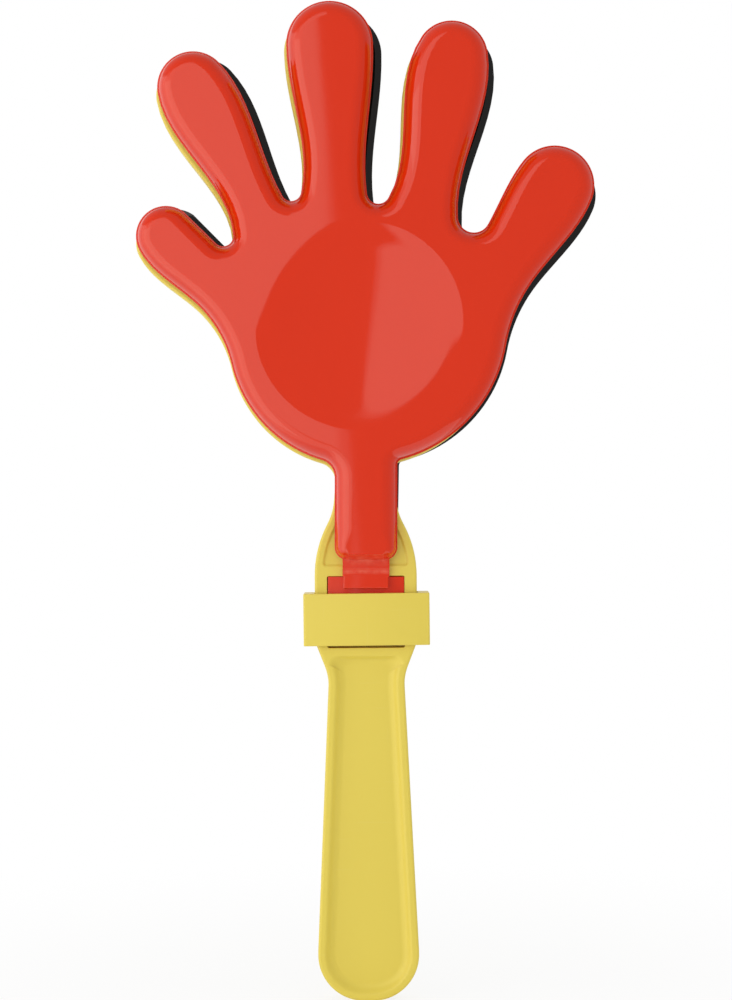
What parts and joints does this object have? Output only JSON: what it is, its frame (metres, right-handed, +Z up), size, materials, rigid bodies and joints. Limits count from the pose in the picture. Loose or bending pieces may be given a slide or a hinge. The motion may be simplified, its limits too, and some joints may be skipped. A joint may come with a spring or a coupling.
{
  "type": "hand clapper",
  "caption": "Toy noise maker shaped as an open hand on a long grip: loose moulded hands on living hinges clap against a fixed middle hand when it is shaken.",
  "frame": {"origin": "centre of the grip, midway between its front and rear panels", "axes": "+Z up the handle to the fingertips, +Y from the front loose hand to the rear one, +X to the right of someone facing the front hand"},
  "size_m": [0.1306, 0.0262, 0.2799],
  "materials": {
    "yellow_plastic": "satin moulded polypropylene",
    "red_plastic": "gloss moulded polypropylene",
    "black_plastic": "gloss moulded polypropylene"
  },
  "bodies": {
    "handle": {"middle_hand_handle": "yellow_plastic", "clamp_band": "yellow_plastic", "front_hinge_tab": "red_plastic", "front_living_hinge": "red_plastic", "rear_hinge_tab": "black_plastic", "rear_living_hinge": "black_plastic"},
    "front_hand": {"front_hand": "red_plastic"},
    "rear_hand": {"rear_hand": "black_plastic"}
  },
  "joints": [
    {"name": "front_flap", "type": "hinge", "parent": "handle", "child": "front_hand", "pos_m": [0.00009, -0.00545, 0.0711], "axis": [1, 0, -0.0079], "range_deg": [-0.8, 100], "stiffness_Nm_per_rad": 0.05, "deforming": ["front_living_hinge"]},
    {"name": "rear_flap", "type": "hinge", "parent": "handle", "child": "rear_hand", "pos_m": [0.00027, 0.00545, 0.0711], "axis": [-0.9997, 0, 0.0236], "range_deg": [-0.8, 100], "stiffness_Nm_per_rad": 0.05, "deforming": ["rear_living_hinge"]}
  ]
}
